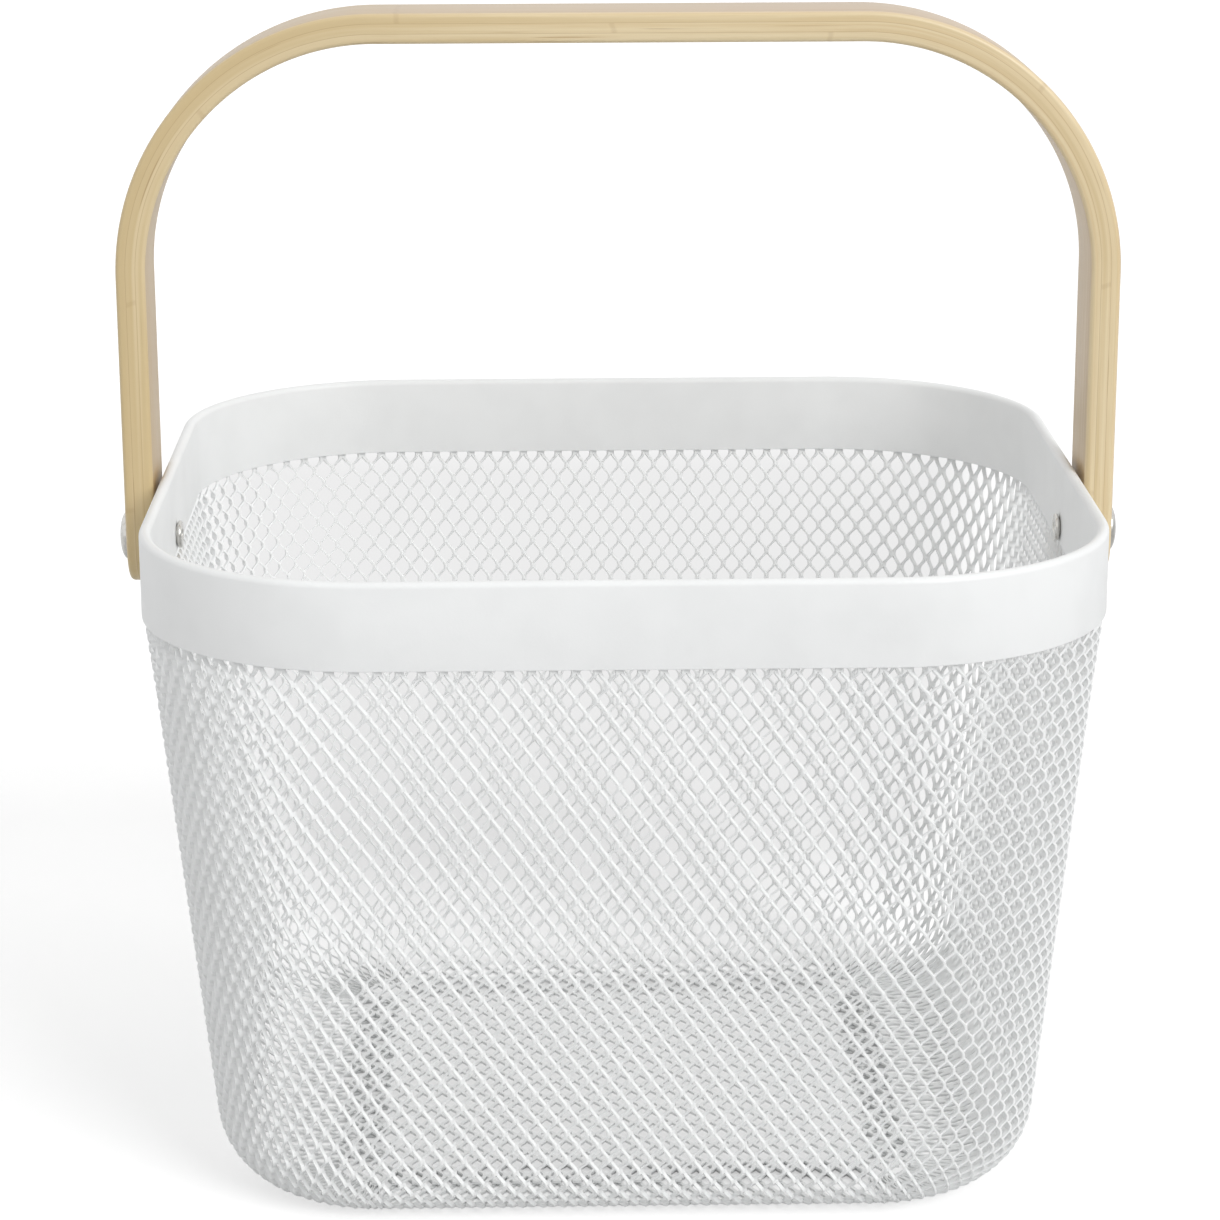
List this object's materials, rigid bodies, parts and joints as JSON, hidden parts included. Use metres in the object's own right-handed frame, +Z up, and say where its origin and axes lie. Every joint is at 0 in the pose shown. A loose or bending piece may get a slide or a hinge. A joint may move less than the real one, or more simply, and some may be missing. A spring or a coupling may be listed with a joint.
{
  "type": "mesh fruit basket",
  "caption": "Square white metal mesh basket with a folded rim band and a bent bamboo handle that swings on rivets.",
  "frame": {"origin": "middle of the base, on the surface that the basket stands on", "axes": "+Z up, +X along the line of the handle's rivets towards the right side, -Y towards the viewer of the picture"},
  "size_m": [0.2746, 0.242, 0.305],
  "materials": {
    "white_coat": "satin white powder coat",
    "bamboo": "clear lacquered laminated bamboo",
    "nickel": "polished nickel plate"
  },
  "bodies": {
    "basket": {"wall_front": "white_coat", "wall_back": "white_coat", "wall_left": "white_coat", "wall_right": "white_coat", "corner_front_left": "white_coat", "corner_front_right": "white_coat", "corner_back_left": "white_coat", "corner_back_right": "white_coat", "floor_mesh": "white_coat", "rim_band": "white_coat", "rivet_right": "nickel", "rivet_left": "nickel"},
    "handle": {"handle_bow": "bamboo"}
  },
  "joints": [
    {"name": "handle_swing", "type": "hinge", "parent": "basket", "child": "handle", "pos_m": [0, 0, 0.162], "axis": [1, 0, 0], "range_deg": [-117, 117]}
  ]
}
